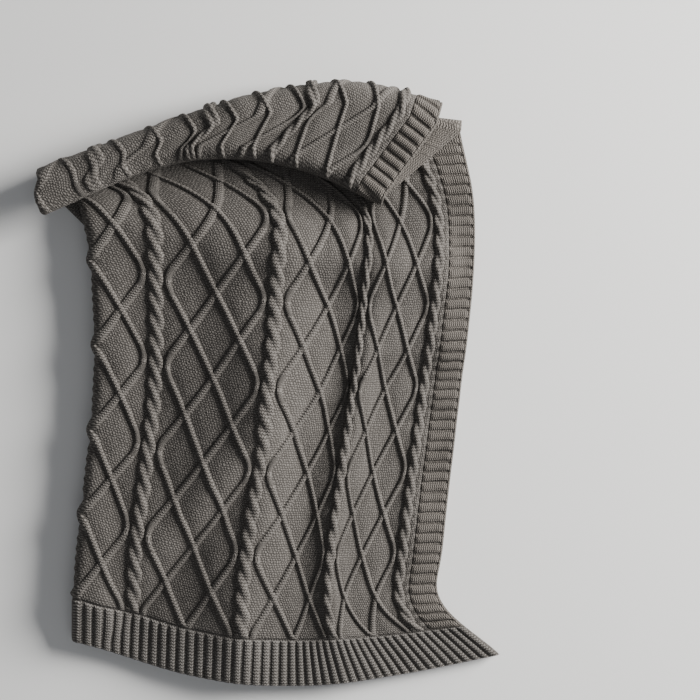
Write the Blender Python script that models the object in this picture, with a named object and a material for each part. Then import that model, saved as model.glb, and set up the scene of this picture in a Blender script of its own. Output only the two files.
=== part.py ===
"""Cable knit throw, folded in half lengthwise and laid out with its far end folded back over itself.

Every piece is a rectangle of the flat throw. A fold map carries the flat throw into its folded shape:
s runs across the flat throw in metres, 0 at the lengthwise fold, positive on the ply that shows;
t runs along it in metres, 0 at the hem that shows. A point's height h is measured out from the ply's middle.
"""

import bpy
import bmesh
import math
import numpy as np
from mathutils import Vector
from mathutils.geometry import delaunay_2d_cdt

# The flat throw
WIDTH = 1.27
LENGTH = 1.32
BORDER = 0.055
END_BORDER = 0.060
PLY = 0.005
PIECE_GAP = 0.0003

# The knitted pattern: seven lattice panels between eight rope cables
PANEL = 0.120
CABLE_ZONE = 0.040
REPEAT = PANEL + CABLE_ZONE
CABLES = [side * (PANEL / 2 + CABLE_ZONE / 2 + k * REPEAT) for side in (-1, 1) for k in range(4)]
CABLE_HALF = 0.010
CABLE_PITCH = 0.0275
CABLE_HIGH = 0.0045
BOUNCE = 0.110
LINE_HALF = 0.10
LINE_OVER = 0.0035
LINE_UNDER = 0.0022
RIB_PITCH = 0.0135
RIB_HIGH = 0.0022

# The folded stack: a doubled throw, its layers one above another under the flap
PLY_OFFSET = 0.0042
NOSE = 0.009
LAYER = 0.0175
Z_BOTTOM = PLY_OFFSET + PLY / 2
Z_FRONT = Z_BOTTOM + LAYER
Z_TUCK = Z_FRONT + LAYER
Z_FLAP = Z_TUCK + LAYER
STEP_RUN = 0.080
HALF = WIDTH / 2 - NOSE

# Where each line of the folded throw lies on the floor, at five stations from the lengthwise fold to the edge.
# x to the right, y away from the hem, both less MIDDLE, which puts the origin in the middle of the footprint.
# The front runs from hem to turn, then come the tuck, lip, flap, ridge and bottom.
STATIONS = np.array([0.0, 0.25, 0.5, 0.75, 1.0])
MIDDLE = (0.0011, 0.0021)
LINES = {
    # name: (x at the stations, y at the stations)
    "hem": ((-0.246, -0.105, 0.035, 0.168, 0.302), (-0.334, -0.376, -0.391, -0.378, -0.352)),
    "foot": ((-0.242, -0.101, 0.034, 0.122, 0.226), (-0.268, -0.298, -0.308, -0.300, -0.282)),
    "low": ((-0.236, -0.094, 0.037, 0.121, 0.229), (-0.200, -0.219, -0.225, -0.219, -0.203)),
    "middle": ((-0.216, -0.067, 0.064, 0.149, 0.251), (-0.013, -0.021, -0.023, -0.021, -0.010)),
    "upper": ((-0.217, -0.060, 0.080, 0.167, 0.266), (0.125, 0.120, 0.117, 0.118, 0.127)),
    "neck": ((-0.232, -0.062, 0.076, 0.168, 0.268), (0.226, 0.229, 0.231, 0.231, 0.235)),
    "turn": ((-0.268, -0.140, -0.015, 0.110, 0.250), (0.262, 0.307, 0.337, 0.345, 0.330)),
    "lip": ((-0.290, -0.152, -0.045, 0.058, 0.153), (0.236, 0.294, 0.308, 0.290, 0.247)),
    "ridge": ((-0.287, -0.134, 0.002, 0.116, 0.218), (0.264, 0.314, 0.350, 0.362, 0.335)),
    "under": ((-0.212, -0.095, 0.025, 0.130, 0.236), (0.190, 0.235, 0.260, 0.270, 0.250)),
    "end": ((-0.215, -0.085, 0.040, 0.142, 0.250), (-0.285, -0.115, 0.020, 0.080, 0.075)),
}
FRONT_LINES = ("hem", "foot", "low", "middle", "upper", "neck", "turn")
TURN_BEND, LIP_BEND, RIDGE_BEND = 6, 8, 10
# How far the ridge bulges out past its line, as a share of half its height: (across, share)
RIDGE_BULGE = ((0.0, 0.55), (0.25, 0.78), (0.45, 1.0), (1.0, 1.0))

# Soft folds that lift the showing ply off the one below: a path and a reach to each side
SOFT_FOLDS = {
    # name: (reach to the left, reach to the right, ((across 0-1, along m, height m), ...))
    "main": (0.175, 0.100, ((0.37, -0.02, 0.014), (0.37, 0.10, 0.032), (0.38, 0.30, 0.040),
                            (0.37, 0.45, 0.036), (0.36, 0.56, 0.020), (0.35, 0.66, 0.0))),
    "second": (0.080, 0.090, ((0.62, -0.02, 0.006), (0.62, 0.12, 0.018), (0.63, 0.30, 0.022),
                              (0.66, 0.44, 0.018), (0.68, 0.60, 0.0))),
    "flap": (0.300, 0.200, ((0.40, 0.60, 0.009), (0.45, 1.10, 0.009))),
}
CREST = {
    "along": (0.55, 0.56, 0.565, 0.555, 0.55),
    "height": (0.002, 0.012, 0.020, 0.016, 0.003),
    "reach": 0.055,
}
# How far the flap reaches over the front, measured back from the turn: (across, length)
COVERED = ((0.0, 0.016), (0.25, 0.022), (0.5, 0.062), (0.6, 0.118), (0.75, 0.100), (0.85, 0.050), (1.0, 0.0))


def smooth(at, xs, ys):
    """A smooth curve through the points (xs, ys), for numbers or for rows of points."""
    xs, ys = np.asarray(xs, float), np.asarray(ys, float)
    at = np.clip(np.asarray(at, float), xs[0], xs[-1])
    slope = np.gradient(ys, xs, axis=0)
    i = np.clip(np.searchsorted(xs, at, side="right") - 1, 0, len(xs) - 2)
    span = xs[i + 1] - xs[i]
    w = (at - xs[i]) / span
    extra = (1,) * (ys.ndim - 1)
    w, span = w.reshape(w.shape + extra), span.reshape(span.shape + extra)
    a, b = ys[i], ys[i + 1]
    left, right = slope[i] * span, slope[i + 1] * span
    return a + w * (left + w * (3 * (b - a) - 2 * left - right + w * (left + right - 2 * (b - a))))


def step(x):
    x = np.clip(x, 0, 1)
    return x * x * (3 - 2 * x)


def plan(line, across):
    x, y = LINES[line]
    return np.stack([smooth(across, STATIONS, x), smooth(across, STATIONS, y)], -1) - MIDDLE


def outward(line, across, up):
    """The level direction square to a line, away from the hem or toward it."""
    d = plan(line, np.minimum(across + 0.02, 1)) - plan(line, np.maximum(across - 0.02, 0))
    n = np.stack([-d[..., 1], d[..., 0]], -1) * up
    return n / np.linalg.norm(n, axis=-1, keepdims=True)


def bend(line, across, up, z_from, z_to, count, bulge=1.0):
    """The half circle by which the doubled throw turns over at a line, narrowed by bulge."""
    centre, out = plan(line, across), outward(line, across, up) * np.reshape(bulge, (-1, 1))
    r = (z_to - z_from) / 2
    for k in range(count + 1):
        turn = math.pi * k / count
        level = centre + out * abs(r) * math.sin(turn)
        height = (z_from + z_to) / 2 - r * math.cos(turn)
        yield np.column_stack([level, np.full(len(across), height)])


def raised(level, z):
    return np.column_stack([level, np.broadcast_to(z, len(level))])


def turns(across):
    """The three turns of the stack, after the front: (name, the middles along it)."""
    bulge = np.interp(across, *np.array(RIDGE_BULGE).T)
    return [
        ("turn", list(bend("turn", across, 1, Z_FRONT, Z_TUCK, TURN_BEND * 4))),
        ("lip", list(bend("lip", across, -1, Z_TUCK, Z_FLAP, LIP_BEND * 4))),
        ("ridge", list(bend("ridge", across, 1, Z_FLAP, Z_BOTTOM, RIDGE_BEND * 4, bulge))),
    ]


def section(across):
    """The doubled throw's middle at each station across, from the hem to the hidden end: (points, row names)."""
    front = np.stack([plan(name, across) for name in FRONT_LINES])
    level = smooth(np.linspace(0, len(FRONT_LINES) - 1, 61), np.arange(len(FRONT_LINES)), front)
    rows = [raised(points, Z_FRONT) for points in level]
    names = ["front"] * len(rows)
    for name, points in turns(across):
        rows += points
        names += [name] * len(points)
    # The bottom layer takes the rest of the length, and the front comes down to the floor past its end.
    rest = LENGTH - np.linalg.norm(np.diff(rows, axis=0), axis=2).sum(axis=0)
    under = plan("under", across)
    rest -= np.linalg.norm(under - plan("ridge", across), axis=1)
    away = plan("end", across) - under
    away /= np.linalg.norm(away, axis=1, keepdims=True)
    end = under + away * rest[:, None]
    for k, points in enumerate(level):
        past = points[:, 1] - np.interp(points[:, 0], end[:, 0], end[:, 1])
        lift = step(past / STEP_RUN + 1.4)
        rows[k] = raised(points, Z_BOTTOM + (Z_FRONT - Z_BOTTOM) * lift)
    rows += [raised(under, Z_BOTTOM), raised(under + away, Z_BOTTOM)]
    names += ["bottom", "bottom"]
    return np.array(rows), names


class Folds:
    """The fold map, sampled finely: a point of the flat throw to its place and outward direction in space."""

    def __init__(self, across_count=65, along_count=761):
        self.across = np.linspace(0, 1, across_count)
        self.along = np.linspace(0, LENGTH, along_count)
        rows, names = section(self.across)
        steps = np.linalg.norm(np.diff(rows, axis=0), axis=2)
        run = np.vstack([np.zeros(across_count), np.cumsum(steps, axis=0)])
        self.starts = {n: run[names.index(n)] for n in ("turn", "lip", "ridge", "bottom")}
        self.ends = {n: run[len(names) - 1 - names[::-1].index(n)] for n in ("front", "turn", "lip", "ridge")}
        mid = np.empty((across_count, along_count, 3))
        for i in range(across_count):
            for axis in range(3):
                mid[i, :, axis] = np.interp(self.along, run[:, i], rows[:, i, axis])
        normal = np.cross(np.gradient(mid, axis=0), np.gradient(mid, axis=1))
        normal /= np.linalg.norm(normal, axis=2, keepdims=True)
        left = -np.gradient(mid, axis=0)[0]
        left /= np.linalg.norm(left, axis=1, keepdims=True)
        lift = self.lift(self.across[:, None], self.along[None, :])
        top = mid + normal * PLY_OFFSET + lift[..., None] * (0, 0, 1)
        under = mid - normal * PLY_OFFSET
        nose = []
        for turn in np.linspace(-90, 90, 13)[1:-1]:
            r = PLY_OFFSET + lift[0] / 2
            c = mid[0] + (lift[0] / 2)[:, None] * (0, 0, 1)
            reach = math.cos(math.radians(turn)) * left + math.sin(math.radians(turn)) * normal[0]
            nose.append(c + reach * r[:, None])
        self.s = np.concatenate([-NOSE - self.across[::-1] * HALF, np.linspace(-NOSE, NOSE, 13)[1:-1],
                                 NOSE + self.across * HALF])
        self.place = np.concatenate([under[::-1], np.array(nose), top])
        ds = np.gradient(self.place, self.s, axis=0)
        dt = np.gradient(self.place, self.along, axis=1)
        out = np.cross(ds, dt)
        self.out = out / np.linalg.norm(out, axis=2, keepdims=True)

    def lift(self, across, along):
        """How far the showing ply is lifted off the one below."""
        u = across * HALF
        across, along = np.broadcast_arrays(across, along)
        high = np.zeros(across.shape)
        flap_high = np.zeros(across.shape)
        for name, (left, right, path) in SOFT_FOLDS.items():
            at, t, peak = np.array(path).T
            middle = smooth(along, t, at) * HALF
            top = np.clip(smooth(along, t, peak), 0, None) * (along >= t[0]) * (along <= t[-1])
            away = across * HALF - middle
            part = np.sqrt((away / np.where(away < 0, left, right)) ** 2 + 0.003)
            bell = top * np.exp(-(part ** 1.4 - 0.003 ** 0.7) * 1.6)
            if name == "flap":
                flap_high = flap_high + bell
            else:
                high = high + bell
        crest = smooth(across, STATIONS, CREST["along"])
        crest_top = smooth(across, STATIONS, CREST["height"])
        high = high + crest_top * np.exp(-(((along - crest) / CREST["reach"]) ** 2) * 2)
        high = high + 0.008 * step((0.62 - along) / 0.05) * np.exp(-((u / 0.05) ** 2))
        edge = step((1 - across) / 0.12)
        front = step((self.cover(across) - along) / 0.05)
        lip = np.interp(across, self.across, self.starts["lip"])
        ridge = np.interp(across, self.across, self.starts["ridge"])
        flap = step((along - lip) / 0.03) * step((ridge + 0.04 - along) / 0.03)
        return (high * front + flap_high * flap) * edge

    def cover(self, across):
        """The length at which the flap starts to hide the front."""
        start = np.interp(across, self.across, self.starts["turn"])
        reach = np.array(COVERED)
        return start - np.interp(across, reach[:, 0], reach[:, 1])

    def shows(self, s, t):
        """1 where the ply shows, 0 where it is hidden and so is plain."""
        across = np.clip((np.abs(s) - NOSE) / HALF, 0, 1)
        front = step((self.cover(across) - t) / 0.012)
        lip = np.interp(across, self.across, self.ends["lip"])
        ridge = np.interp(across, self.across, self.starts["ridge"])
        flap = step((t - lip) / 0.008) * step((ridge - t) / 0.008)
        return np.maximum(front, flap) * (s > -NOSE)

    def at(self, s, t, h):
        """The place in space of points h out from the ply's middle."""
        i = np.clip(np.searchsorted(self.s, s, side="right") - 1, 0, len(self.s) - 2)
        j = np.clip(np.searchsorted(self.along, t, side="right") - 1, 0, len(self.along) - 2)
        a = np.clip((s - self.s[i]) / (self.s[i + 1] - self.s[i]), 0, 1)[:, None]
        b = np.clip((t - self.along[j]) / (self.along[j + 1] - self.along[j]), 0, 1)[:, None]
        found = []
        for grid in (self.place, self.out):
            found.append((grid[i, j] * (1 - a) + grid[i + 1, j] * a) * (1 - b)
                         + (grid[i, j + 1] * (1 - a) + grid[i + 1, j + 1] * a) * b)
        out = found[1] / np.linalg.norm(found[1], axis=1, keepdims=True)
        return found[0] + out * h[:, None]

    def rows(self, across):
        """The lengths at which the fold map bends, at one station across."""
        def of(table):
            return float(np.interp(across, self.across, table))

        rows = list(np.linspace(0, of(self.starts["turn"]) - 0.02, 22)) + [of(self.starts["turn"]) - 0.01]
        for name, count in (("turn", TURN_BEND), ("lip", LIP_BEND), ("ridge", RIDGE_BEND)):
            rows += list(np.linspace(of(self.starts[name]), of(self.ends[name]), count + 1))
        lip, ridge = of(self.ends["lip"]), of(self.starts["ridge"])
        rows += list(np.linspace(lip, ridge, 5)[1:-1])
        rows += list(np.linspace(of(self.ends["ridge"]), LENGTH, 9)[1:])
        return rows


def cable_height(s, t):
    """Two strands that cross: at each crossing one lies over the middle, and between they stand apart."""
    phase = t / CABLE_PITCH
    near = np.abs(phase - np.round(phase)) < 0.25
    side = np.abs(s) / CABLE_HALF
    crossed = np.interp(side, [0, 0.55, 1.0], [1.0, 0.55, 0.0])
    apart = np.interp(side, [0, 0.55, 1.0], [0.45, 0.9, 0.0])
    return CABLE_HIGH * np.where(near, crossed, apart)


def lattice_height(a, b):
    """Strands lie along whole numbers of a and b; those of b lie over."""
    over = np.clip(1 - np.abs(b - np.round(b)) / LINE_HALF, 0, 1)
    under = np.clip(1 - np.abs(a - np.round(a)) / LINE_HALF, 0, 1)
    return np.maximum(LINE_OVER * over, LINE_UNDER * under)


def relief(folds, s, t):
    """The height of the centre panel's knitting at a point of the flat throw."""
    middle = round(s / REPEAT) * REPEAT
    across = s - middle + PANEL / 2
    if not 0 <= across <= PANEL:
        return 0.0
    along = (t - END_BORDER) / BOUNCE
    shows = float(folds.shows(np.array([s]), np.array([t]))[0])
    return shows * float(lattice_height(along - 2 * across / PANEL, along + 2 * across / PANEL))


def lattice_points(folds):
    """Points along the lattice strands of each panel: (s, t, height), and the strand lines that join them."""
    points, lines = [], []
    marks = sorted(k + o for k in range(-8, 34) for o in (0, LINE_HALF, 1 - LINE_HALF))
    for panel in range(-3, 4):
        left = panel * REPEAT - PANEL / 2
        index = {}
        for a in marks:
            for b in marks:
                across, along = (b - a) * PANEL / 4, (a + b) * BOUNCE / 2
                s, t = left + across, END_BORDER + along
                if not -1e-6 < across < PANEL + 1e-6 or s < NOSE + 0.003:
                    continue
                if t < END_BORDER + 0.004 or t > LENGTH - END_BORDER - 0.004:
                    continue
                if float(folds.shows(np.array([s]), np.array([t]))[0]) < 0.02:
                    continue
                index[round(a, 4), round(b, 4)] = len(points)
                points.append((s, t, relief(folds, s, t)))
        for (a, b), i in index.items():
            for other in (1 - LINE_HALF, LINE_HALF, 1 - 2 * LINE_HALF):
                for c, d in ((a + other, b), (a, b + other)):
                    j = index.get((round(c, 4), round(d, 4)))
                    if j is not None and abs(other - gap_after(a if c != a else b)) < 1e-6:
                        lines.append((i, j))
    return points, lines


def gap_after(mark):
    """The distance from a mark of the lattice to the next one."""
    part = round(mark % 1, 4)
    return {0.0: LINE_HALF, LINE_HALF: 1 - 2 * LINE_HALF}.get(part, LINE_HALF)


def cable_points(folds):
    """Points across each cable at its crossings and halfway between them."""
    points = []
    count = int((LENGTH - 2 * END_BORDER) / CABLE_PITCH * 2)
    for centre in CABLES:
        for k in range(1, count):
            t = END_BORDER + k * CABLE_PITCH / 2
            offset = np.array([-1.0, -0.55, 0.0, 0.55, 1.0]) * CABLE_HALF
            shows = folds.shows(centre + offset, np.full(5, t))
            if shows.max() < 0.02:
                continue
            heights = cable_height(offset, np.full(5, k * CABLE_PITCH / 2)) * shows
            points += [(centre + o, t, h) for o, h in zip(offset, heights)]
    return points


def grid_points(folds, stations):
    """Points on the fold map's own rows at the given distances across, and the rows joining them where hidden."""
    points, lines = [], []
    for column, s in enumerate(stations):
        across = min(max((abs(s) - NOSE) / HALF, 0), 1)
        rows = folds.rows(across)
        shows = folds.shows(np.full(len(rows), s), np.array(rows))
        for k, t in enumerate(rows):
            here = column * len(rows) + k
            points.append((s, t, 0.0, shows[k] > 0.02))
            if column and not points[here][3] and not points[here - len(rows)][3]:
                lines.append((here - len(rows), here))
            if k and abs(s) <= NOSE:
                lines.append((here - 1, here))
    return points, lines


def thin(points, box, near, kept, lines=()):
    """The points inside a box, away from its edges and the kept points, with the lines between them."""
    (s0, s1), (t0, t1) = box
    cells = {(round(p[0] / near), round(p[1] / near)) for p in kept}
    found, number = [], {}
    for old, point in enumerate(points):
        s, t = point[0], point[1]
        if not (s0 + near < s < s1 - near and t0 + near * 0.7 < t < t1 - near * 0.7):
            continue
        i, j = round(s / near), round(t / near)
        if any((i + di, j + dj) in cells for di in (-1, 0, 1) for dj in (-1, 0, 1)):
            continue
        number[old] = len(found)
        found.append(point[:3])
    return found, [(number[i], number[j]) for i, j in lines if i in number and j in number]


def sorted_grid(folds, columns, box, kept):
    """What thin takes to lay a grid of plain points in among the kept ones."""
    points, lines = grid_points(folds, columns)
    return points, box, 0.003, kept, lines


def outline(folds, box, ribs_s, ribs_t):
    """The points round a piece's edge, which its two faces share."""
    (s0, s1), (t0, t1) = box
    loop = [(s, t0) for s in ribs_s(s0, s1, t0)] + [(s1, t) for t in ribs_t(s1, t0, t1)]
    loop += [(s, t1) for s in ribs_s(s0, s1, t1)[::-1]] + [(s0, t) for t in ribs_t(s0, t0, t1)[::-1]]
    return list(dict.fromkeys((round(s, 6), round(t, 6)) for s, t in loop))


def edge_s(s0, s1, t):
    """Distances across at which every piece's ends have points: rib steps where the near end border shows."""
    half = RIB_PITCH / 2
    shown = list(np.arange(2, 112) * half) if t < LENGTH / 2 else list(np.linspace(0.02, 0.62, 25))
    nose = list(np.linspace(-NOSE, NOSE, 5))
    marks = shown + nose + list(np.linspace(-0.62, -0.02, 22)) + [-0.58, 0.58]
    return [s0] + sorted(m for m in set(marks) if s0 + 0.002 < m < s1 - 0.002) + [s1]


def edge_t(folds):
    """Distances along at which the side edges have points: fold rows, and rib steps where the ply shows."""
    def of(s, t0, t1):
        across = min(max((abs(s) - NOSE) / HALF, 0), 1)
        steps = END_BORDER + np.arange(0, int(LENGTH / RIB_PITCH * 2)) * RIB_PITCH / 2
        kept = [t for t in steps if float(folds.shows(np.array([s]), np.array([t]))[0]) > 0.02]
        for t in folds.rows(across) + list(np.arange(0, LENGTH, 0.025)):
            if not kept or np.abs(np.array(kept) - t).min() > 0.002:
                kept.append(t)
        return [t0] + sorted(t for t in kept if t0 + 0.002 < t < t1 - 0.002) + [t1]
    return of


def face(loop, inner, lines):
    """Triangles over a loop and the points inside it, keeping the lines as edges."""
    flat = [Vector(p[:2]) for p in loop] + [Vector(p[:2]) for p in inner]
    n = len(loop)
    edges = [(i, (i + 1) % n) for i in range(n)] + [(i + n, j + n) for i, j in lines]
    verts, _, faces, _, _, _ = delaunay_2d_cdt(flat, edges, [], 1, 1e-7)
    if len(verts) != len(flat):
        raise ValueError(f"{len(verts)} points from {len(flat)}")
    return [tuple(f) for f in faces]


def piece(name, folds, loop, raised_face, plain_face, colour):
    """A closed ply over a rectangle of the flat throw: raised points on its outer face, a plain inner one."""
    (outer, lines), (inner, inner_lines) = raised_face, plain_face
    top = face(loop, outer, lines)
    low = face(loop, inner, inner_lines)
    n = len(loop)
    flat = np.array([p[:2] for p in loop + outer + loop + inner])
    rise = [0.0] * n + [p[2] for p in outer] + [0.0] * (n + len(inner))
    side = np.array([1.0] * (n + len(outer)) + [-1.0] * (n + len(inner)))
    co = folds.at(flat[:, 0], flat[:, 1], side * PLY / 2 + np.array(rise))
    shift = n + len(outer)
    faces = [f for f in top] + [tuple(shift + i for i in reversed(f)) for f in low]
    for i in range(n):
        j = (i + 1) % n
        # The wall's diagonal leans the same way in the neighbouring piece, so the two walls stay apart.
        if sum(loop[i]) < sum(loop[j]):
            faces += [(i, shift + i, shift + j), (i, shift + j, j)]
        else:
            faces += [(i, shift + i, j), (shift + i, shift + j, j)]
    mesh = bpy.data.meshes.new(name)
    mesh.from_pydata([tuple(p) for p in co], [], faces)
    bm = bmesh.new()
    bm.from_mesh(mesh)
    bmesh.ops.recalc_face_normals(bm, faces=bm.faces)
    if bm.calc_volume(signed=True) < 0:
        bmesh.ops.reverse_faces(bm, faces=bm.faces)
    bm.to_mesh(mesh)
    bm.free()
    material = bpy.data.materials.new(name)
    material.use_nodes = True
    material.node_tree.nodes["Principled BSDF"].inputs["Base Color"].default_value = (*colour, 1)
    material.node_tree.nodes["Principled BSDF"].inputs["Roughness"].default_value = 0.95
    mesh.materials.append(material)
    obj = bpy.data.objects.new(name, mesh)
    bpy.data.collections["cable_knit_throw"].objects.link(obj)
    return obj


def centre_panel(folds):
    """Seven lattice panels between eight rope cables."""
    reach = WIDTH / 2 - BORDER - PIECE_GAP / 2
    box = ((-reach, reach), (END_BORDER + PIECE_GAP / 2, LENGTH - END_BORDER - PIECE_GAP / 2))
    loop = outline(folds, box, edge_s, edge_t(folds))
    strands, lines = lattice_points(folds)
    outer, lines = thin(strands, box, 0.003, [], lines)
    ropes, _ = thin(cable_points(folds), box, 0.003, [])
    outer += ropes
    columns = {0.0, NOSE / 2, NOSE, -NOSE / 2, -NOSE} | {k * 0.07 for k in range(-8, 1)}
    columns = sorted(columns | {k * 0.05 for k in range(1, 12)})
    plain, rows = thin(*sorted_grid(folds, columns, box, outer + loop))
    lines += [(i + len(outer), j + len(outer)) for i, j in rows]
    outer += [(s, t, relief(folds, s, t)) for s, t, _ in plain]
    inner_columns = {0.0, NOSE / 2, NOSE, -NOSE / 2, -NOSE} | {k * 0.07 for k in range(-8, 0)}
    inner_columns = sorted(inner_columns | {k * 0.035 for k in range(1, 17)})
    inner, inner_lines = thin(*sorted_grid(folds, inner_columns, box, loop))
    return piece("centre_panel", folds, loop, (outer, lines), (inner, inner_lines), (0.30, 0.28, 0.26))


def side_border(folds, name, side):
    """Ribs square to the long edge, with a chain along it."""
    near, far = WIDTH / 2 - BORDER + PIECE_GAP / 2, WIDTH / 2
    across = (near, far) if side > 0 else (-far, -near)
    box = (across, (END_BORDER + PIECE_GAP / 2, LENGTH - END_BORDER - PIECE_GAP / 2))
    loop = outline(folds, box, edge_s, edge_t(folds))
    outer = []
    if side > 0:
        for t in edge_t(folds)(far, *box[1])[1:-1]:
            k = (t - END_BORDER) / (RIB_PITCH / 2)
            high = RIB_HIGH if round(k) % 2 else 0.0
            high *= float(folds.shows(np.array([far]), np.array([t]))[0])
            if abs(k - round(k)) < 0.02:
                outer += [(near + 0.004, t, high), (far - 0.006, t, high)]
    columns = [across[0] + 0.008, (across[0] + across[1]) / 2, across[1] - 0.008]
    plain, rows = thin(*sorted_grid(folds, columns, box, outer))
    rows = [(i + len(outer), j + len(outer)) for i, j in rows]
    inner, inner_rows = thin(*sorted_grid(folds, columns, box, []))
    return piece(name, folds, loop, (outer + plain, rows), (inner, inner_rows), (0.34, 0.30, 0.26))


def end_border(folds, name, front):
    """Ribs along the length, across the whole end."""
    along = (0.0, END_BORDER - PIECE_GAP / 2) if front else (LENGTH - END_BORDER + PIECE_GAP / 2, LENGTH)
    box = ((-WIDTH / 2, WIDTH / 2), along)
    loop = outline(folds, box, edge_s, edge_t(folds))
    marks = edge_s(-WIDTH / 2, WIDTH / 2, along[0])[1:-1]
    outer, inner, lines = [], [], []
    for s in marks:
        step_of = s / (RIB_PITCH / 2)
        ribbed = front and s > NOSE and abs(step_of - round(step_of)) < 0.01 and round(step_of) % 2
        high = RIB_HIGH if ribbed else 0.0
        outer += [(s, along[0] + 0.005, high), (s, along[1] - 0.004, high)]
        lines.append((len(outer) - 2, len(outer) - 1))
    inner = [(s, (along[0] + along[1]) / 2) for s in marks if abs(s) < 0.02] + [
        (s, (along[0] + along[1]) / 2) for s in marks[::3] if abs(s) > 0.02]
    return piece(name, folds, loop, (outer, lines), (inner, []), (0.26, 0.25, 0.24))


def main():
    for obj in list(bpy.data.objects):
        bpy.data.objects.remove(obj, do_unlink=True)
    throw = bpy.data.collections.new("cable_knit_throw")
    bpy.context.scene.collection.children.link(throw)
    folds = Folds()
    centre_panel(folds)
    side_border(folds, "side_border_right", 1)
    side_border(folds, "side_border_left", -1)
    end_border(folds, "end_border_front", True)
    end_border(folds, "end_border_back", False)


main()
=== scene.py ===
"""Cable knit throw: the knitting of the folded throw, its yarn and a plain stage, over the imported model.

The throw is folded in half lengthwise and laid out, with its far end folded back over itself. Each piece
is a rectangle of the flat throw, and a fold map carries it into its folded shape: s runs across the flat
throw in metres, 0 at the lengthwise fold and positive on the ply that shows; t runs along it in metres,
0 at the hem that shows.
"""

import math
from functools import partial

import bpy
import numpy as np
from bpy.props import FloatProperty, FloatVectorProperty, PointerProperty
from bpy.types import Operator, Panel, PropertyGroup
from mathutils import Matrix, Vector
from mathutils.geometry import delaunay_2d_cdt


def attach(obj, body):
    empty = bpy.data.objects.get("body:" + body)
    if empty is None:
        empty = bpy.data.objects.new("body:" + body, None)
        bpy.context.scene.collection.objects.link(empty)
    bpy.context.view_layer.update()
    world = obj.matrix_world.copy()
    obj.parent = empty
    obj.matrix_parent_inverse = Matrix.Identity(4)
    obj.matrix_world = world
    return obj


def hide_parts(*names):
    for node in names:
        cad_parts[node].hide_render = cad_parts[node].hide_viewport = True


bl_info = {
    "name": "Cable knit throw",
    "version": (1, 0, 0),
    "blender": (4, 5, 0),
    "location": "View3D > Sidebar > Throw",
    "description": "Knits the panels and borders of a folded cable knit throw over its packed model",
    "category": "Add Mesh",
}

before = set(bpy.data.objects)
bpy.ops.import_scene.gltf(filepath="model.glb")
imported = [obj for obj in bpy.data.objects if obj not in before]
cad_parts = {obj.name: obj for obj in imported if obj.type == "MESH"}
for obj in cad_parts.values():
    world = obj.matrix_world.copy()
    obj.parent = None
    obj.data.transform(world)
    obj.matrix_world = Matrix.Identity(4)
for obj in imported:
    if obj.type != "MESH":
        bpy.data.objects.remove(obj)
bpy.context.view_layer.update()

# The flat throw
WIDTH = 1.27
LENGTH = 1.32
BORDER = 0.055
END_BORDER = 0.060
PLY = 0.005
PIECE_GAP = 0.00006

# The knitted pattern: seven lattice panels between eight rope cables
PANEL = 0.120
CABLE_ZONE = 0.040
REPEAT = PANEL + CABLE_ZONE
OUTER_PANEL = 3
CABLES = [PANEL / 2 + CABLE_ZONE / 2 + k * REPEAT for k in range(OUTER_PANEL + 1)]
STRANDS = 4
ROPE_STRANDS = 2
CABLE_PITCH = 0.0275
STRAND_SWING = 0.0050
STRAND_HALF = 0.0056
BOUNCE = 0.110
SWING = 0.140
ROUNDING = 0.16
OVER_WIDE = 0.0041
UNDER_WIDE = 0.0047
STRAND_OFFSETS = (-1.3, -1.0, -0.86, -0.6, -0.3, 0.0, 0.3, 0.6, 0.86, 1.0, 1.3)
ROPE_REACH = 0.0114
ROPE_SHARES = (0.15, 0.29, 0.44, 0.58, 0.72, 0.84, 0.93, 1.0)
ROPE_OFFSETS = [-ROPE_REACH * x for x in ROPE_SHARES[::-1]] + [0.0] + [ROPE_REACH * x for x in ROPE_SHARES]
COLUMN = 0.0042
STRAND_COLUMN = 0.0040
ROPE_COLUMN = 0.0037
RIB_PITCH = 0.0135
RIB_WIDE = 0.0050
RIB_OFFSETS = [-RIB_PITCH / 2, -RIB_WIDE, -0.0044, -0.0032, -0.0016, 0.0, 0.0016, 0.0032, 0.0044, RIB_WIDE]
RIB_FADE = 0.004
STITCHES_A_RIB = 3
SELVEDGE = 0.0055
LINK_PITCH = RIB_PITCH * 3 / 8

# The relief's profile: shares of a rope's height, and the ground's groove and puff beside the strands
ROPE_BODY, ROPE_FORWARD, ROPE_DOME = 0.52, 0.22, 0.30
ROPE_SQUARE = 0.4
CROSSING = 0.30
BARE = 0.0002
GROOVE_DEEP, GROOVE_WIDE = 0.0006, 0.0035
PUFF_HIGH, PUFF_START, PUFF_RUN = 0.0010, 0.002, 0.014
FAR = 1.0

# Steps between the relief's points, and how near an edge or how hidden they may be
STRAND_STEP, ROPE_STEP = 0.0036, 0.0024
SIDE_STEPS = (0.0025, 0.006, 0.012, 0.02, 0.028, 0.036, 0.043, 0.0475, 0.0495, 0.051, 0.0525, 0.054)
HEM_STEPS = (0.0015, 0.003, 0.005, 0.008, 0.014, 0.021, 0.028, 0.035, 0.042, 0.049, 0.054, 0.057)
GROUND_COLUMN, GROUND_ROW = 0.0075, 0.0065
EDGE_CLEAR = 0.0008
HIDDEN = 0.02
NOSE_POINTS = 9

# The folded stack: a doubled throw, its layers one above another under the flap
PLY_OFFSET = 0.0042
NOSE = 0.009
LAYER = 0.0175
Z_BOTTOM = PLY_OFFSET + PLY / 2
Z_FRONT = Z_BOTTOM + LAYER
Z_TUCK = Z_FRONT + LAYER
Z_FLAP = Z_TUCK + LAYER
STEP_RUN = 0.080
STEP_LEAD = 1.4
HALF = WIDTH / 2 - NOSE

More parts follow.
